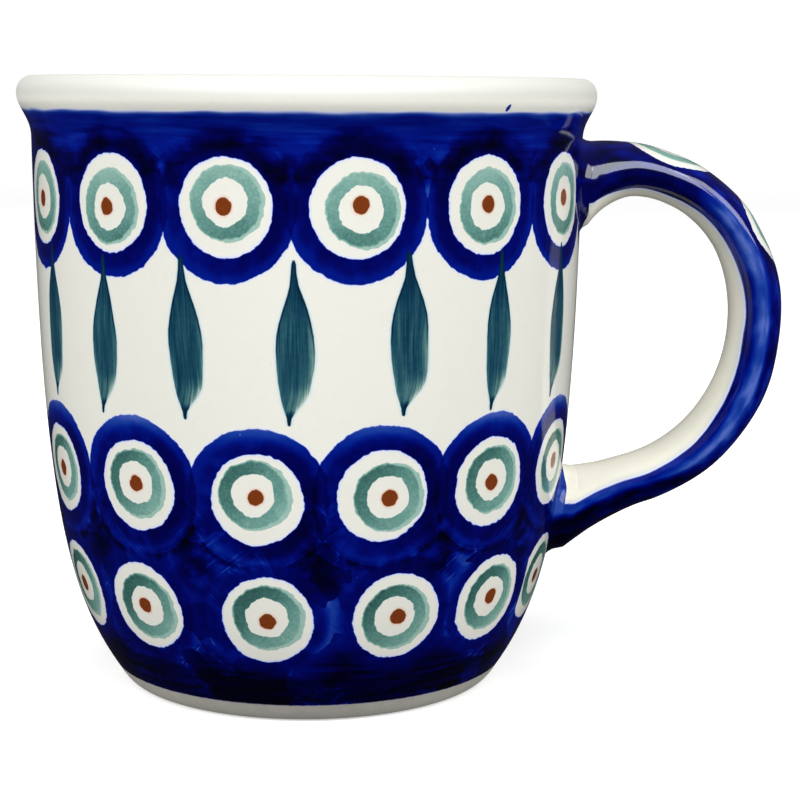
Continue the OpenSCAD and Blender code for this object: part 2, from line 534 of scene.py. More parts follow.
def cloud(place, scale, detail=0.0, stretch=(1.0, 1.0, 1.0)):
    """Soft noise from about -1 to 1. A scale of 1 has features about 1 mm across."""
    if stretch != (1.0, 1.0, 1.0):
        place = scaled(place, stretch)
    values = {"Vector": place, "Scale": scale, "Detail": detail}
    node = add_node(place.tree, "ShaderNodeTexNoise", values)
    return Wire(place.tree, node.outputs[0]) * 3.0 - 1.5


def twisted(place, angle):
    """The place turned about the cup's axis. If the angle grows with height, streaks slant."""
    values = {"Vector": place, "Angle": angle}
    node = add_node(place.tree, "ShaderNodeVectorRotate", values, rotation_type="Z_AXIS")
    return Wire(place.tree, node.outputs[0])


def specks(place, scale, size, share):
    """Small round specks, in a share of the cells of a loose grid."""
    node = add_node(place.tree, "ShaderNodeTexVoronoi", {"Vector": place, "Scale": scale})
    near = Wire(place.tree, node.outputs["Distance"])
    chance = split(Wire(place.tree, node.outputs["Color"]))[0]
    return smooth(near, size * scale, 0.4 * size * scale) * smooth(chance, share, share - 0.01)


def colours(value, full, stops):
    """A colour for a value from 0 to full, blended between the stops (value, colour)."""
    node = add_node(value.tree, "ShaderNodeValToRGB", {0: value / full})
    ramp = node.color_ramp
    ramp.elements[1].position = stops[-1][0] / full
    ramp.elements[1].color = (*stops[-1][1], 1.0)
    ramp.elements[0].color = (*stops[0][1], 1.0)
    for place, colour in stops[1:-1]:
        ramp.elements.new(place / full).color = (*colour, 1.0)
    return Wire(value.tree, node.outputs[0])


def profile(value, full, stops):
    """A number for a value from 0 to full, blended between the stops (value, number)."""
    return split(colours(value, full, [(at, (number, 0.0, 0.0)) for at, number in stops]))[0]


def look_up(index, rows, reach):
    """Four numbers from -reach to reach for a whole number, from a list of rows of four."""
    node = add_node(index.tree, "ShaderNodeValToRGB", {0: (index + 0.5) / len(rows)})
    ramp = node.color_ramp
    ramp.interpolation = "CONSTANT"
    ramp.elements[1].position = 1 / len(rows)
    for number, row in enumerate(rows):
        stop = ramp.elements[number] if number < 2 else ramp.elements.new(number / len(rows))
        stop.color = [0.5 + value / (2 * reach) for value in row]
    parts = split(Wire(index.tree, node.outputs["Color"]))
    parts.append(Wire(index.tree, node.outputs["Alpha"]))
    return [(part - 0.5) * (2 * reach) for part in parts]


def blend(under, over, cover):
    """The colour over laid on the colour under, as far as cover says."""
    under, over = ((*c, 1.0) if isinstance(c, tuple) else c for c in (under, over))
    node = add_node(cover.tree, "ShaderNodeMix", {0: cover, 6: under, 7: over}, data_type="RGBA")
    return Wire(cover.tree, node.outputs[2])


def new_material(name):
    """A material, its node tree and its shader."""
    material = bpy.data.materials.new(name)
    material.use_nodes = True
    return material, material.node_tree, material.node_tree.nodes["Principled BSDF"]


def place_in_mm(tree):
    """Where the shaded point is on the mug, in millimetres."""
    node = tree.nodes.new("ShaderNodeTexCoord")
    return scaled(Wire(tree, node.outputs["Object"]), (1000.0,) * 3)


def attribute(tree, name, output):
    node = tree.nodes.new("ShaderNodeAttribute")
    node.attribute_name = name
    return Wire(tree, node.outputs[output])


def connect(shader, name, wire):
    """Feeds one of the shader's inputs."""
    wire.tree.links.new(wire.socket, shader.inputs[name])


def relief(shader, height):
    """Turns a height in millimetres into a bumpy surface."""
    node = add_node(height.tree, "ShaderNodeBump", {"Height": height, "Distance": MM})
    height.tree.links.new(node.outputs[0], shader.inputs["Normal"])


# ---- Paint ----

CREAM = (0.77, 0.768, 0.70)
# the cream of the handle's inner face, paler and warmer as painted bounce light from the cup
BOUNCE_LIT_CREAM = (0.90, 0.875, 0.75)
# Cobalt gets darker as more of it lies on the clay: amount of paint and colour
COBALT = [
    (0.0, CREAM),
    (0.3, (0.66, 0.70, 0.84)),
    (0.9, (0.30, 0.36, 0.72)),
    (1.7, (0.06, 0.11, 0.44)),
    (2.6, (0.010, 0.045, 0.31)),
    (3.6, (0.002, 0.019, 0.255)),
    (4.8, (0.0, 0.007, 0.205)),
    (6.4, (0.0, 0.002, 0.128)),
    (8.0, (0.0, 0.0006, 0.078)),
    (10.5, (0.0, 0.0, 0.036)),
    (14.0, (0.0, 0.0, 0.009)),
    (18.0, (0.0003, 0.0003, 0.003)),
]
MOST_COBALT = 18.0
GREEN = [
    (0.0, (0.46, 0.62, 0.55)),
    (0.3, (0.27, 0.45, 0.39)),
    (0.6, (0.165, 0.34, 0.295)),
    (0.85, (0.100, 0.245, 0.215)),
    (1.1, (0.050, 0.150, 0.130)),
    (1.5, (0.015, 0.055, 0.055)),
]
THICK_BROWN = (0.13, 0.022, 0.004)
THIN_BROWN = (0.22, 0.05, 0.010)
PEACH = (0.80, 0.52, 0.38)
PALE_TEAL = (0.52, 0.70, 0.75)
IRON = (0.44, 0.37, 0.28)
# painted light for the lower part of the rim and painted shade for its top
LOW_RIM_PAINTED_LIGHT = (0.83, 0.828, 0.755)
RIM_TOP_PAINTED_SHADE = (0.665, 0.668, 0.618)
GREY_CREAM = (0.66, 0.655, 0.60)
DARK_CLAY = (0.34, 0.325, 0.285)
PALE_CLAY = (0.47, 0.455, 0.41)


class Row:
    """A row of painted motifs round the cup.

    count is how many, height is where their middles are, and first is the angle of motif 0,
    in degrees from the front, which is -Y, towards the handle. known holds what the motifs
    on the front are like, and the rest get seeded random values. In a row of eyes, disc is
    the radius of the cobalt discs, and tall is how much taller than wide the eyes are.
    """

    def __init__(self, count, height, first, seed, known, disc=None, tall=1.0):
        self.count = count
        self.height = height
        self.disc = disc
        self.tall = tall
        self.phase = first / 360 * count
        self.known = known
        self.chance = random.Random(seed)

    def values(self, key, spread):
        """Four numbers for each motif: what is known of it, or random ones within spread."""
        rows = []
        for number in range(self.count):
            guess = [self.chance.uniform(-s, s) for s in spread]
            rows.append(self.known.get(number, {}).get(key, guess))
        return rows


def eye(place, ring, dot, shade):
    """How one eye differs: its place, its green ring's and its brown dot's, and its shading."""
    return {
        "place": (*place, 0.0, 0.0),
        "stamps": (*ring, *dot),
        "shade": (*shade, 0.0, 0.0),
    }


UPPER_EYES = Row(
    count=14,
    height=76.2,
    first=10.0,
    seed=3,
    known={
        11: eye((0.1, 0.2), (0.2, 0.0), (0.0, -0.2), (0.3, 0.1)),
        12: eye((0.4, 0.1), (-0.3, -0.5), (-0.7, -0.5), (0.2, 0.3)),
        13: eye((0.0, 0.0), (0.0, 0.6), (-0.2, 0.1), (0.5, 0.3)),
        0: eye((-0.7, 0.0), (0.5, -0.2), (0.4, 0.4), (0.0, 0.4)),
        1: eye((0.2, 0.1), (0.1, -0.1), (0.2, 0.1), (-0.3, 0.3)),
        2: eye((0.5, 0.3), (0.2, 0.1), (0.0, 0.2), (0.2, 0.2)),
    },
    disc=10.0,
    tall=1.04,
)
MIDDLE_EYES = Row(
    count=14,
    height=35.8,
    first=14.2,
    seed=5,
    known={
        11: eye((-1.9, 0.2), (0.3, 0.2), (0.2, 0.0), (0.2, -0.2)),
        12: eye((-0.2, 0.4), (-0.2, 0.4), (0.0, 0.3), (0.4, -0.1)),
        13: eye((0.7, -0.3), (-0.5, 0.7), (-0.1, 0.4), (0.6, -0.2)),
        0: eye((0.5, 0.1), (0.7, -0.2), (0.9, -0.3), (0.5, 0.3)),
        1: eye((0.4, 0.6), (0.1, 0.3), (0.1, -0.2), (-0.2, 0.2)),
        2: eye((0.3, 0.8), (0.0, 0.1), (0.1, 0.2), (0.1, 0.1)),
    },
    disc=10.25,
)
LOWER_EYES = Row(
    count=13,
    height=17.5,
    first=18.5,
    seed=8,
    known={
        10: eye((-0.8, 0.3), (0.1, 0.3), (0.0, 0.0), (0.1, 0.1)),
        11: eye((-1.8, 0.2), (0.2, -0.1), (0.0, 0.1), (0.3, -0.2)),
        12: eye((-0.1, 0.0), (0.0, 0.4), (0.1, -0.2), (0.2, 0.1)),
        0: eye((0.8, 0.1), (-0.3, -0.1), (0.2, -0.1), (0.1, 0.3)),
        1: eye((-0.5, 0.5), (-0.1, 0.1), (0.2, 0.1), (0.2, 0.2)),
        2: eye((-3.8, 0.8), (0.1, 0.2), (0.0, 0.0), (0.0, 0.2)),
    },
    disc=9.6,
)


def leaf(sideways, up, lean, width):
    return {"place": (sideways, up, lean, width)}


LEAVES = Row(
    count=17,
    height=46.5,
    first=-2.5,
    seed=13,
    known={
        14: leaf(2.3, 0.5, 0.2, 0.0),
        15: leaf(0.7, -0.4, 0.3, -0.3),
        16: leaf(-0.4, 0.0, -0.4, 0.2),
        0: leaf(-0.1, -0.4, -0.1, 0.1),
        1: leaf(0.5, 0.7, -0.3, 1.3),
        2: leaf(0.3, 0.4, 0.1, -0.3),
        3: leaf(0.5, 0.6, 0.2, -0.2),
    },
)
# Half the width of a leaf in millimetres, at heights above its tail
LEAF_EDGE = [
    (0.0, 0.0),
    (0.2, 0.22),
    (1.2, 0.36),
    (2.0, 0.72),
    (2.8, 1.18),
    (3.6, 1.6),
    (4.6, 1.97),
    (6.2, 2.28),
    (8.2, 2.48),
    (10.6, 2.56),
    (12.6, 2.43),
    (14.5, 2.13),
    (16.4, 1.66),
    (18.2, 1.08),
    (19.5, 0.68),
    (21.2, 0.44),
    (22.5, 0.33),
    (23.2, 0.1),
]
LEAF_LENGTH = LEAF_EDGE[-1][0]
WIDEST_LEAF = 4.0  # no leaf is wider than this to either side
LEAF_COLOURS = [
    (0.0, (0.0015, 0.016, 0.040)),
    (0.3, (0.0035, 0.036, 0.072)),
    (0.6, (0.017, 0.080, 0.112)),
    (0.85, (0.060, 0.155, 0.165)),
    (1.1, (0.17, 0.29, 0.27)),
    (1.3, (0.38, 0.47, 0.42)),
]


def cell(row, turns, radius):
    """The motif of a row nearest to the shaded point, and the next one on the same side.

    Each is its number and how far the point is from its regular place, in millimetres.
    """
    steps = turns * row.count - row.phase
    number = calc("FLOOR", steps + 0.5)
    off = steps - number
    side = calc("SIGN", off)
    pitch = radius * (TURN / row.count)
    nearest = (calc("FLOORED_MODULO", number, row.count), off * pitch)
    beyond = (calc("FLOORED_MODULO", number + side, row.count), (off - side) * pitch)
    return nearest, beyond


DISC_COAT = 4.7  # how much cobalt lies on a disc
THINNEST_DISC = 4.1
POOL_COAT = 2.8  # how much more lies in the pool round its white stamp
# Radii of the white stamp, the green ring, its second print, the dot and its peach edge
WHITE_R = 6.72
RING_INNER_R = 3.16
RING_OUTER_R = 4.89
SECOND_PRINT_R = 5.13
DOT_R = 1.19
PEACH_R = 1.62


def paint_eyes(row, turns, radius, z, torn, mottle):
    """Paints the discs and white stamps of a row of eyes.

    Returns what the rest of the cup's paint needs of it. torn is how far the edges stray.
    """
    places = row.values("place", (0.9, 0.5, 0.5, 0.5))
    stamps = row.values("stamps", (0.5, 0.5, 0.6, 0.5))
    shades = row.values("shade", (0.5, 0.4, 0.5, 0.5))
    discs = []
    for number, sideways in cell(row, turns, radius):
        shift, lift, size = look_up(number, places, 4.0)[:3]
        shade_x, shade_y, tint = look_up(number, shades, 1.0)[:3]
        x = sideways - shift
        y = (z - row.height - lift) / row.tall
        r = distance(x, y) + torn
        outer = row.disc + 0.25 * size
        slant = (x * shade_x + y * shade_y) * 0.07
        inside = smooth(r, outer + 0.10, outer - 0.14)
        bleed = smooth(r, outer + 0.5, outer - 0.1) * 0.40
        # more paint lies round the white stamp than at the edge of the disc
        pool = smooth(r, 6.1, 7.0) * smooth(r, 9.6, 8.0) * (1.0 + slant * 1.5 + mottle * 0.35)
        coat = highest(DISC_COAT + slant + mottle * 0.6 + pool * POOL_COAT, THINNEST_DISC)
        disc = SimpleNamespace(number=number, x=x, y=y, r=r, size=size, tint=tint)
        disc.inside = inside
        disc.coat = coat
        disc.amount = inside * coat + bleed
        discs.append(disc)
    near, far = discs
    white_edge = WHITE_R + 0.2 * near.size
    overlap = lowest(near.amount, far.amount)
    return SimpleNamespace(
        near=near,
        amount=highest(near.amount, far.amount) + overlap * 0.4,
        inside=highest(near.inside, far.inside),
        between=calc("ABSOLUTE", near.r - far.r),
        white=smooth(near.r, white_edge + 0.10, white_edge - 0.12),
        glow=smooth(near.r, white_edge - 0.55, white_edge),
        stamps=look_up(near.number, stamps, 1.5),
    )


def paint_stamps(colour, eyes, wobble, teeth, grain, load, dark):
    """Lays the green ring and the brown dot of each eye on the colour.

    load is how much green the stamp carries, and dark the way in which the ring gets darker.
    """
    ring_x, ring_y, dot_x, dot_y = eyes.stamps
    x = eyes.near.x - ring_x
    y = eyes.near.y - ring_y
    ragged = wobble + teeth * 1.3
    r = distance(x, y) + ragged
    inner = smooth(r, RING_INNER_R - 0.08, RING_INNER_R + 0.08)
    body = inner * smooth(r, RING_OUTER_R + 0.23, RING_OUTER_R - 0.23)
    # the stamp slid a little and left a paler second print beside the first
    second = distance(x - 0.36, y + 0.08) + ragged
    fringe = inner * smooth(second, SECOND_PRINT_R + 0.09, SECOND_PRINT_R - 0.09)
    slant = x * dark[0] + y * dark[1]
    depth = load + slant * 0.065 + grain * 0.19 + wobble * 0.45 + eyes.near.tint * 0.12
    amount = highest(body * highest(depth, 0.3), fringe * (0.24 + grain * 0.08))
    colour = blend(colour, colours(amount, 1.5, GREEN), smooth(amount, 0.02, 0.19))
    dot = distance(eyes.near.x - dot_x, eyes.near.y - dot_y)
    dot = dot + wobble * 0.5 + teeth * 0.9
    colour = blend(colour, PEACH, smooth(dot, PEACH_R, PEACH_R - 0.47) * 0.75)
    brown = colours(grain * 0.25 + 0.5, 1.0, [(0.0, THICK_BROWN), (1.0, THIN_BROWN)])
    return blend(colour, brown, smooth(dot, DOT_R + 0.07, DOT_R - 0.07))


def paint_leaves(colour, turns, radius, z, wave, teeth, clear):
    """Lays the row of leaves on the colour: one stroke of a loaded brush for each.

    clear is 1 where nothing else is painted.
    """
    number, sideways = cell(LEAVES, turns, radius)[0]
    places = LEAVES.values("place", (0.5, 0.8, 0.5, 0.4))
    shift, lift, lean, width = look_up(number, places, 4.0)
    up = z - LEAVES.height - lift
    tail_hook = smooth(up, 5.2, 0.6) * 0.85
    x = sideways - shift - lean * (up - 11.0) / 11.0 + tail_hook + wave * 0.22
    edges = [(at / LEAF_LENGTH, half / WIDEST_LEAF) for at, half in LEAF_EDGE]
    half = profile(up / LEAF_LENGTH, 1.0, edges) * (WIDEST_LEAF + width * 0.5)
    across = x / highest(half, 0.05)
    out = calc("ABSOLUTE", x) - half
    on_leaf = smooth(up, -0.05, 0.1) * smooth(up, LEAF_LENGTH, LEAF_LENGTH - 0.3)
    cover = smooth(out, 0.09 + teeth * 0.3, -0.07) * on_leaf
    halo = smooth(out, 0.50, 0.05) * on_leaf * clear * 0.75

    hairs = cloud(join(x * 4.6, up * 0.13, number * 7.3), 1.0, 2.0)
    broad = cloud(join(x * 0.95, up * 0.08, number * 3.1 + 40.0), 1.0, 1.0)
    tone = 0.47 + hairs * 0.32 + broad * 0.17 + teeth * 0.4
    right_light = smooth(across, 0.5, 1.0) * smooth(up, 17.0, 10.0) * 0.45
    left_light = smooth(across, -0.6, -1.0) * smooth(up, 13.0, 7.0) * 0.30
    foot_light = smooth(up, 6.5, 3.6) * smooth(up, 1.2, 2.6) * smooth(across, -1.2, 0.6) * 0.42
    tail_dark = smooth(up, 2.4, 1.2) * 0.5
    outline = smooth(out, -0.34, -0.12) * smooth(up, 9.0, 14.0) * 0.7
    tip_dark = smooth(up, 14.0, 20.5) * 0.26
    tone = tone + right_light + left_light + foot_light - tail_dark - outline - tip_dark
    colour = blend(colour, PALE_TEAL, halo)
    return blend(colour, colours(highest(tone, 0.0), 1.3, LEAF_COLOURS), cover)


def brush_dabs(place, z, warp):
    """The dabs of a broad brush: the load and the hair marks of the dab at each point."""
    x, y = split(place)[:2]
    bent = join(x + warp * 2.2, y + warp * 2.2, z * 0.9 - warp * 1.6)
    cells = add_node(place.tree, "ShaderNodeTexVoronoi", {"Vector": bent, "Scale": 0.15})
    load, slope, strength = split(Wire(place.tree, cells.outputs["Color"]))
    rising = cloud(twisted(place, z * 0.026), 1.0, 1.0, (1.6, 1.6, 0.12))
    falling = cloud(twisted(place, z * -0.030), 1.0, 1.0, (1.6, 1.6, 0.12))
    falls = smooth(slope, 0.45, 0.46)
    hairs = rising * (1.0 - falls) + falling * falls
    return load, smooth(hairs, 0.15, 0.60) * smooth(strength, 0.15, 0.6)


# Heights on the cup in millimetres, from its foot up
GLAZE_Z = 3.1  # the foot has no glaze below this
GROUND_Z = 35.5  # the top of the ground that the two lower rows lie on
LEAVES_Z = (44.5, 72.5)
WASH_Z = 76.0  # the wash between the upper eyes begins here
BAND_Z = (82.6, 84.6, 88.1, 89.35)  # the band under the rim begins, is full, thins and ends
LIP_Z = 89.5
RIM_DROP = (0.1075, 89.7)  # where a drop of cobalt fell: turns from the front, and height
RIM_ROUND = 280.0  # millimetres round the rim


def cup_material():
    """Clear glaze over the stamped and brushed pattern, and bare clay on the foot."""
    material, tree, shader = new_material("hand_painted_glaze")
    place = place_in_mm(tree)
    x, y, z = split(place)
    radius = distance(x, y)
    turns = calc("ARCTAN2", x, 0.0 - y) / TURN

    # noise that several motifs share: the stamps' torn edges, their sway and the paint's grain
    teeth = cloud(place, 1.15, 1.0) * 0.14
    wobble = cloud(place, 0.28, 1.0) * 0.26
    grain = cloud(place, 2.6, 2.0)
    mottle = cloud(place, 0.42, 2.0)
    wave = cloud(place, 0.16, 0.0)
    streaks = cloud(place, 1.0, 2.0, (0.10, 0.10, 1.15))
    blots = cloud(place, 1.0, 2.0, (0.22, 0.22, 0.30))
    load, hair_marks = brush_dabs(place, z, blots)
    torn = teeth + wobble * 0.8

    upper = paint_eyes(UPPER_EYES, turns, radius, z, torn, mottle)
    middle = paint_eyes(MIDDLE_EYES, turns, radius, z, torn, mottle)
    lower = paint_eyes(LOWER_EYES, turns, radius, z, torn, mottle)

    # the brushed band under the rim, thin at its edge, and the wash between the upper eyes
    stray = streaks * 0.08 + wave * 0.15
    begins, full, thins, ends = BAND_Z
    band_edge = smooth(z, ends + stray, thins + stray)
    band = smooth(z, begins + wave * 0.9 + blots * 0.8, full + wave * 0.9 + blots * 0.8)
    wash = highest(3.7 + (load - 0.5) * 3.6 - hair_marks * 1.0 + mottle * 0.6, 2.4)
    wash = wash * (1.0 - band) + band * highest(5.2 + streaks * 2.0 + blots * 0.8, 3.8)
    top_wash = wash * smooth(z, WASH_Z - 0.5, WASH_Z + 0.5)
    # where the wash runs over the upper edge of a disc there are two coats, unevenly laid
    over_r = upper.near.r + blots * 0.9
    over_y = upper.near.y + streaks * 1.2
    double = smooth(over_r, 11.2, 9.4) * smooth(over_r, 6.8, 7.8) * smooth(over_y, 1.0, 6.5)
    double = double * highest(3.0 + blots * 5.5 + streaks * 2.5, 0.5)
    corner = smooth(upper.between, 4.2, 1.2) * smooth(upper.near.y, 2.2, 4.0)
    corner = corner * smooth(upper.near.y, 8.0, 5.4) * highest(3.5 + mottle * 5.0, 0.0)
    top_amount = (highest(top_wash, upper.amount) + double + corner) * band_edge

    # the ground of the two lower rows: slanting dabs, nearly black where they meet
    ground = 6.4 + (load - 0.5) * 4.2 - hair_marks * 3.4 + mottle * 1.1
    ground = ground - smooth(load, 0.12, 0.06) * 1.8
    below = middle.near.y
    blotch = smooth(middle.between, 5.5, 1.0) * smooth(below, -2.5, -5.5)
    blotch = blotch * smooth(below, -16.0, -12.0) * smooth(blots, -0.35, 0.25)
    past_disc = middle.near.r - (MIDDLE_EYES.disc + 0.25)
    outline = smooth(calc("ABSOLUTE", past_disc), 1.1, 0.2) * 4.6
    outline = outline * smooth(mottle, -0.5, 0.2)
    foot = smooth(z, 14.0 + wave * 2.5, 6.0 + wave * 2.5)
    ground = ground + blotch * 5.5 + outline + foot * highest(7.0 + streaks * 6.0, -0.5)
    spread = smooth(z, GROUND_Z + 1.1, GROUND_Z - 1.1)
    disc = middle.inside
    low_amount = highest(ground * spread * (1.0 - disc), middle.amount)
    low_amount = low_amount + disc * spread * ((ground - 6.0) * 0.45 + blotch * 2.5)
    soft_disc = smooth(lower.near.r, LOWER_EYES.disc + 0.3, LOWER_EYES.disc - 2.2)
    low_coat = lower.near.coat + (ground - 7.0) * 0.25
    low_amount = low_amount * (1.0 - soft_disc) + low_coat * soft_disc

    gap = smooth(z, 41.0, 50.0)
    amount = highest(low_amount, 2.4 * spread) * (1.0 - gap) + top_amount * gap
    whites = highest(highest(upper.white, middle.white), lower.white)
    glow = upper.white * upper.glow + middle.white * middle.glow
    glow = (glow + lower.white * lower.glow) * 0.45
    pin = specks(place, 0.30, 0.13, 0.4)
    amount = amount * (1.0 - pin * 0.55)
    amount = amount * (1.0 - whites) + glow
    # one drop of cobalt fell on the rim and ran aslant
    drop_turns, drop_z = RIM_DROP
    drop = distance((turns - drop_turns) * RIM_ROUND - (z - drop_z) * 0.45, (z - drop_z) * 0.7)
    amount = amount + smooth(drop + teeth, 0.45, 0.22) * 5.0
    inside = attribute(tree, "inside", "Fac")
    painted = smooth(z, GLAZE_Z - 0.15 + teeth * 0.4, GLAZE_Z + 0.15 + teeth * 0.4)
    amount = amount * (1.0 - inside) * painted
    colour = colours(amount, MOST_COBALT, COBALT)

    # painted light on the lower part of the rim, which turns away from the lamps, and painted
    # shade on its top, where the lamps fall full
    thin = 1.0 - smooth(amount, 0.3, 1.5)
    low_rim_painted_light = smooth(z, LIP_Z, LIP_Z + 0.9) * smooth(z, LIP_Z + 2.0, LIP_Z + 1.0)
    low_rim_painted_light = low_rim_painted_light * (1.0 - inside)
    colour = blend(colour, LOW_RIM_PAINTED_LIGHT, low_rim_painted_light * thin)
    colour = blend(colour, RIM_TOP_PAINTED_SHADE, smooth(z, LIP_Z + 1.1, LIP_Z + 2.5) * thin)

    # iron specks in the clay show where there is little paint
    cloudy = highest(mottle * 0.5 + grain * 0.35, 0.0)
    colour = blend(colour, GREY_CREAM, cloudy * thin * 0.30)
    colour = blend(colour, IRON, specks(place, 0.55, 0.10, 0.35) * thin * 0.5)
    colour = blend(colour, IRON, specks(place, 1.3, 0.13, 0.5) * thin * 0.16)

    ways = ((0.70, (0.1, -0.9)), (0.88, (-0.8, 0.6)), (0.92, (-0.9, 0.9)))
    for eyes, (green_load, dark) in zip((upper, middle, lower), ways):
        stamped = paint_stamps(colour, eyes, wobble, teeth, grain, green_load, dark)
        colour = blend(colour, stamped, eyes.white * (1.0 - inside))
    leafy = paint_leaves(colour, turns, radius, z, wave, teeth, thin)
    bottom, top = LEAVES_Z
    leaf_zone = smooth(z, bottom - 0.5, bottom + 0.5) * smooth(z, top + 0.5, top - 0.5)
    colour = blend(colour, leafy, leaf_zone * (1.0 - inside))

    bare = smooth(z, GLAZE_Z + 0.1 + teeth * 0.4, GLAZE_Z - 0.2 + teeth * 0.4) * (1.0 - inside)
    clay = colours(mottle * 0.25 + 0.5 + grain * 0.1, 1.0, [(0.0, DARK_CLAY), (1.0, PALE_CLAY)])
    colour = blend(colour, clay, bare)
    connect(shader, "Base Color", colour)

    on_rim = smooth(z, LIP_Z - 1.0, LIP_Z + 1.0)
    gloss = 0.085 + mottle * 0.02 + pin * 0.1 + on_rim * 0.42
    connect(shader, "Roughness", gloss * (1.0 - bare) + bare * (0.72 + grain * 0.05))
    skin = cloud(place, 0.22, 1.0) * 0.010 + cloud(place, 0.75, 0.0) * 0.0012
    # faint rings that the thrower's fingers left inside the cup
    climb = z * 0.9 + turns * TURN + wave * 0.5 - radius * 0.12
    skin = skin + calc("SINE", climb) * (0.5 + mottle * 0.4) * inside * 0.045
    relief(shader, skin * (1.0 - bare) + bare * (grain * 0.02 + mottle * 0.02))
    shader.inputs["Specular IOR Level"].default_value = 0.45
    return material


def handle_material():
    """Cobalt with two stamped eyes, and clear glaze on the side towards the hand."""
    material, tree, shader = new_material("hand_painted_handle")
    place = place_in_mm(tree)
    grip = attribute(tree, "grip", "Vector")
    run, across, out = split(grip)
    teeth = cloud(place, 1.15, 1.0) * 0.14
    wave = cloud(place, 0.16, 1.0)
    grain = cloud(place, 2.6, 2.0)
    mottle = cloud(place, 0.42, 2.0)
    streaks = cloud(grip, 1.0, 2.0, (0.10, 0.75, 0.75))
    blots = cloud(grip, 1.0, 2.0, (0.20, 0.42, 0.42))

    # cobalt on the outside and the sides, clear glaze on the side towards the hand, and
    # cobalt all round where the handle meets the wall
    border = smooth(run, 50.0, 74.0, -2.6, -1.5) + smooth(run, 76.0, 88.0, 0.0, -0.5)
    patch = smooth(out, -7.0, -4.0, 0.35, 1.25)
    past_patch = attribute(tree, "off_wall", "Fac") + wave * 0.15 + teeth * 0.15 - patch
    border = border - smooth(past_patch, 0.1, -0.1) * 6.0 + wave * 0.14 + teeth * 0.12
    cover = smooth(out, border - 0.12, border + 0.16)
    halo = smooth(out, border - 0.7, border + 0.1) * 0.3
    # painted light and shade on the lower arm: less cobalt along its upper edge, which faces the
    # lamps, and more all over and most along its lower edge, which faces down
    lower_arm = smooth(run, 62.0, 80.0)
    upper_arm = smooth(run, 24.0, 12.0)
    middle_band = highest(1.9 + streaks * 1.3 + blots * 1.5, 1.35)
    inner_band = smooth(out, border + 2.1, border + 0.3) * highest(4.4 + blots * 2.5, 1.5)
    inner_band = inner_band * (1.0 - highest(lower_arm * 0.75, upper_arm * 0.8))
    outer_band = smooth(out + lower_arm * 1.3, 0.5, 1.8) * highest(4.6 + blots * 4.5, 0.8)
    outer_band = outer_band * (1.0 + lower_arm * 0.8)
    # painted shade: more cobalt on the upper arm, most where it turns under, away from the lamps
    shade_under_arm = upper_arm * smooth(out, 1.1, 0.2) * highest(5.2 + blots * 3.0, 2.5)
    amount = middle_band + inner_band + outer_band + shade_under_arm + upper_arm * 1.5
    amount = amount + lower_arm * 0.7
    amount = cover * amount + halo

    # the two eyes stamped on the outside
    white = 0.0
    green = 0.0
    dot = 0.0
    off = distance(across, CREST_OUT - out)
    for middle in HANDLE_EYES:
        r = distance((run - middle) * 1.15, off) + teeth + wave * 0.3
        white = highest(smooth(r, 6.95, 6.75), white)
        ring = smooth(r, 3.0, 3.3) * smooth(r, 5.6, 4.9) * (0.55 + grain * 0.15)
        green = highest(ring, green)
        dot = highest(smooth(r, DOT_R + 0.07, DOT_R - 0.07), dot)
    amount = amount * (1.0 - white)
    colour = colours(amount, MOST_COBALT, COBALT)
    colour = blend(colour, colours(green, 1.5, GREEN), smooth(green, 0.02, 0.2))
    colour = blend(colour, THIN_BROWN, dot)
    # cream on the side towards the hand, with painted bounce light from the cup
    colour = blend(colour, BOUNCE_LIT_CREAM, smooth(out, border - 0.3, border - 1.0) * (1.0 - cover))
    thin = 1.0 - smooth(amount, 0.3, 1.5)
    colour = blend(colour, IRON, specks(place, 1.3, 0.13, 0.5) * thin * 0.16)
    cloudy = highest(mottle * 0.5 + grain * 0.25, 0.0)
    colour = blend(colour, GREY_CREAM, cloudy * thin * 0.30)
    connect(shader, "Base Color", colour)
    inner_side = smooth(out, border + 1.2, border - 0.4)
    connect(shader, "Roughness", 0.09 + grain * 0.02 + inner_side * 0.1)
    # the glaze ran down before it set: it lies thick on the upper arm and thin below
    level = smooth(run, 34.0, 60.0, 0.5, 0.26)
    dull_edge = smooth(run, 34.0, 56.0) * smooth(out, border + 2.4, border + 1.4)
    connect(shader, "Specular IOR Level", level * (1.0 - dull_edge * 0.92))
    skin = cloud(place, 0.25, 1.0) * 0.014 + cloud(place, 0.8, 0.0) * 0.0015
    relief(shader, skin)
    return material


def stage_material():
    """Matt white paper with a faint fibre."""
    material, tree, shader = new_material("studio_paper")
    place = place_in_mm(tree)
    fibre = cloud(place, 0.9, 2.0)
    tint = colours(fibre * 0.5 + 0.5, 1.0, [(0.0, (0.85, 0.85, 0.85)), (1.0, (0.89, 0.89, 0.89))])
    connect(shader, "Base Color", tint)
    shader.inputs["Roughness"].default_value = 0.9
    shader.inputs["Specular IOR Level"].default_value = 0.1
    shader.inputs["Emission Color"].default_value = (1.0, 1.0, 1.0, 1.0)
    shader.inputs["Emission Strength"].default_value = 0.37
    return material


# ---- Pieces ----

cup = build_cup()
handle = build_handle()
upper_slip = build_slip_joint("upper_slip_fillet", True)
lower_slip = build_slip_joint("lower_slip_fillet", False)

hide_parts("cup_body")
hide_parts("handle")
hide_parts("upper_slip_joint")
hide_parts("lower_slip_joint")
for piece in (cup, handle, upper_slip, lower_slip):
    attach(piece, "root")

cup.data.materials.append(cup_material())
handle_paint = handle_material()
for piece in (handle, upper_slip, lower_slip):
    piece.data.materials.append(handle_paint)


# ---- Stage ----

# The floor, the bend at its edge and the wall, in metres
FLOOR_R = 1.5
BEND_R = 0.8
STAGE_H = 3.0
STAGE_SIDES = 96


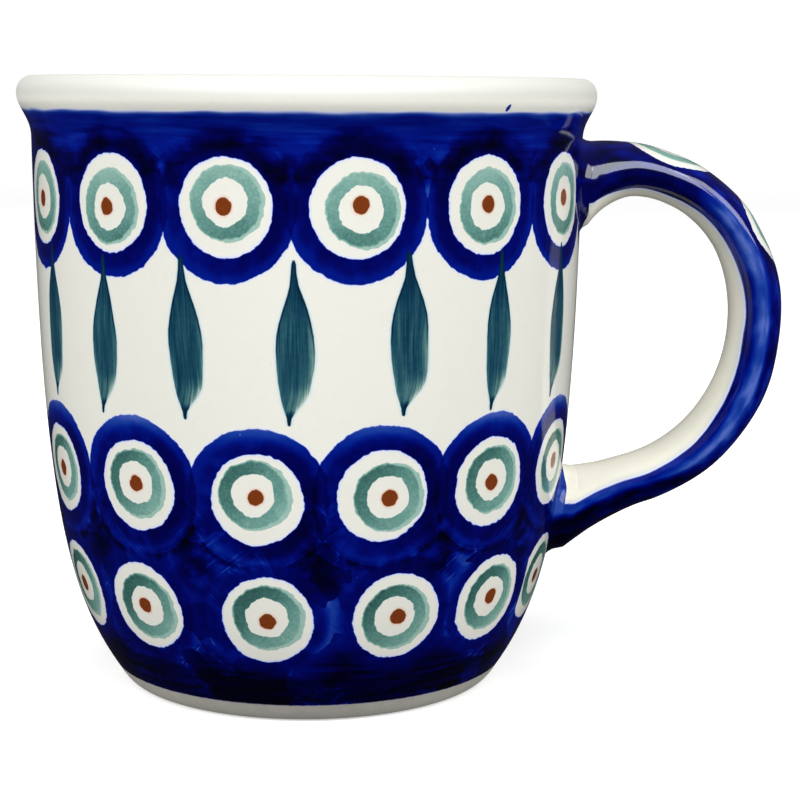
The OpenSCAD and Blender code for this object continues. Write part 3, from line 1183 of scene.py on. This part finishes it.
def build_stage():
    """A floor that curves up into a wall all round, so no view sees an edge."""
    outline = [(radius, 0.0) for radius in (0.0, 0.5, 1.0, FLOOR_R)]
    outline += [
        (FLOOR_R + BEND_R * math.sin(a), BEND_R - BEND_R * math.cos(a))
        for a in np.linspace(0.0, math.pi / 2, 24)[1:]
    ]
    outline += [(FLOOR_R + BEND_R, STAGE_H)]
    sides = STAGE_SIDES
    points = [(0.0, 0.0, 0.0)]
    for radius, z in outline[1:]:
        for side in range(sides):
            angle = TURN * side / sides
            points.append((radius * math.cos(angle), radius * math.sin(angle), z))
    faces = [(0, 1 + side, 1 + (side + 1) % sides) for side in range(sides)]
    for ring in range(len(outline) - 2):
        for side in range(sides):
            a = 1 + ring * sides + side
            b = 1 + ring * sides + (side + 1) % sides
            faces.append((a, a + sides, b + sides, b))
    stage = new_object("studio_floor", points, faces)
    stage.data.materials.append(stage_material())
    # the paper neither lights nor shades the mug, and doesn't show in its glaze: the air
    # stands in for it, so that the paper can be bright and the glaze still deep in colour
    stage.visible_diffuse = False
    stage.visible_glossy = False
    stage.visible_shadow = False


build_stage()

LIT_POINT = (0.0, 0.0, 0.05)  # the middle of the mug


def soft_box(name, place, width, height, power):
    """A rectangular soft light at place that faces the mug."""
    data = bpy.data.lights.new(name, "AREA")
    data.shape = "RECTANGLE"
    data.size = width
    data.size_y = height
    data.energy = power
    light = add_object(name, data)
    light.location = place
    aim = Vector(LIT_POINT) - Vector(place)
    light.rotation_euler = aim.to_track_quat("-Z", "Y").to_euler()
    return light


top_light = soft_box("top_light", (0.0, -0.75, 0.95), 1.5, 0.55, 5.9)
top_light.visible_glossy = False
soft_box("left_light", (-1.1, -0.75, 0.85), 0.7, 0.9, 12.6)
soft_box("right_light", (1.1, -0.75, 0.85), 0.7, 0.9, 12.8)
# a wide, faintly blue screen above the camera, which only shows in the glaze
screen = soft_box("screen", (0.0, -0.89, 0.80), 1.5, 0.87, 34)
screen.visible_diffuse = False
screen.data.color = (0.90, 0.95, 1.0)

# How bright the room is towards its floor, horizon and ceiling, as it lights the mug and as
# its glaze mirrors it: the glaze sees a dark room with bright lamps
AIR = [(0.0, 0.45), (0.5, 0.51), (0.7, 0.54), (1.0, 0.60)]
MIRRORED_AIR = [(0.0, 0.01), (0.5, 0.02), (0.6, 0.06), (1.0, 0.10)]


def build_air():
    """The light that comes from all round."""
    world = bpy.data.worlds.new("studio_air")
    world.use_nodes = True
    tree = world.node_tree
    direction = Wire(tree, tree.nodes.new("ShaderNodeTexCoord").outputs["Generated"])
    height = split(direction)[2] * 0.5 + 0.5
    light = colours(height, 1.0, [(at, (grey, grey, grey)) for at, grey in AIR])
    mirrored = colours(height, 1.0, [(at, (grey, grey, grey)) for at, grey in MIRRORED_AIR])
    ray = tree.nodes.new("ShaderNodeLightPath")
    seen = blend(light, mirrored, Wire(tree, ray.outputs["Is Glossy Ray"]))
    tree.links.new(seen.socket, tree.nodes["Background"].inputs["Color"])
    bpy.context.scene.world = world


build_air()
bpy.context.scene.view_settings.view_transform = "Standard"


# ---- Camera ----

CAMERA_PLACE = (-0.00006, -0.30515, 0.09064)


def build_camera():
    """The camera, turned a little to the right of +Y, tipped down and slightly askew."""
    data = bpy.data.cameras.new("camera")
    data.sensor_width = 36.0
    data.lens = 87.38
    data.clip_start = 0.01
    camera = add_object("camera", data)
    yaw = Matrix.Rotation(math.radians(-2.72), 4, "Z")
    pitch = Matrix.Rotation(math.radians(90 - 8.77), 4, "X")
    roll = Matrix.Rotation(math.radians(0.384), 4, "Z")
    camera.matrix_world = Matrix.Translation(CAMERA_PLACE) @ yaw @ pitch @ roll
    bpy.context.scene.camera = camera


build_camera()
